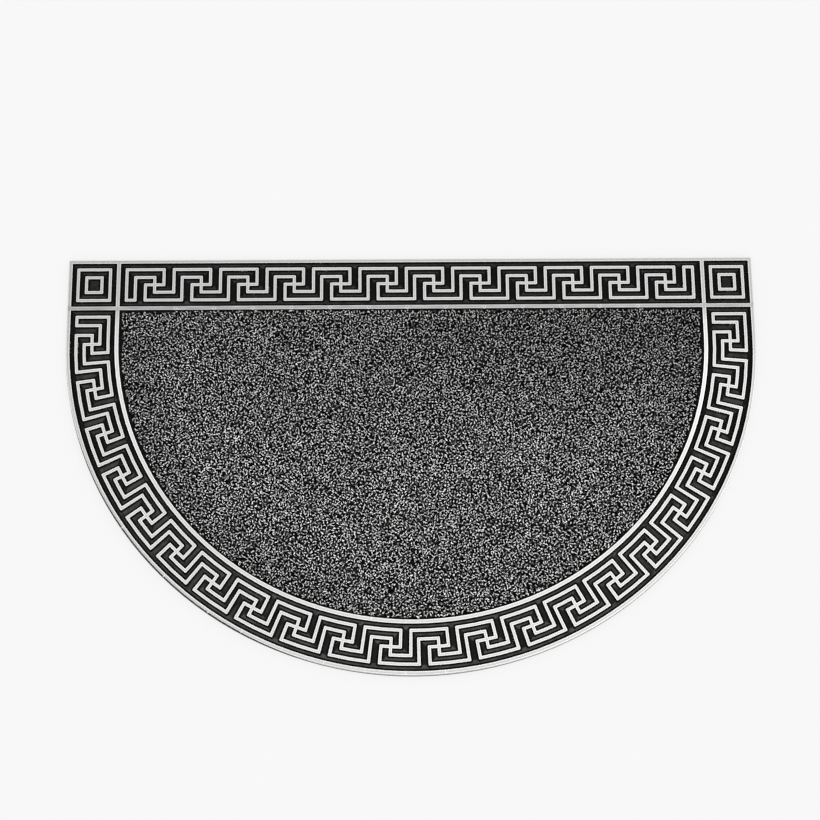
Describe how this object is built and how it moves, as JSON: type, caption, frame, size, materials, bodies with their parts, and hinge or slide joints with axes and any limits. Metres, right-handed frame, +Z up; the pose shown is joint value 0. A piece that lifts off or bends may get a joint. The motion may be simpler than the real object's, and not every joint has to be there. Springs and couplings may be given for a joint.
{
  "type": "half-moon doormat",
  "caption": "Half-moon doormat: flat moulded rubber base with a raised silver key border and square corner blocks, and a curly grey pile panel in its sunk middle.",
  "frame": {"origin": "middle of the outline, on the floor that the underside rests on", "axes": "+X along the straight back edge, to the right seen from above with that edge at the top; +Y towards the straight back edge; +Z up"},
  "size_m": [0.75, 0.45, 0.0075],
  "materials": {
    "black_rubber": "satin black rubber, with the flat tops of its rims, rings and keys painted pale silver",
    "grey_pile": "short curly pile of mixed black, grey and off-white yarn"
  },
  "bodies": {
    "root": {"rubber_base": "black_rubber", "pile_panel": "grey_pile"}
  },
  "joints": []
}
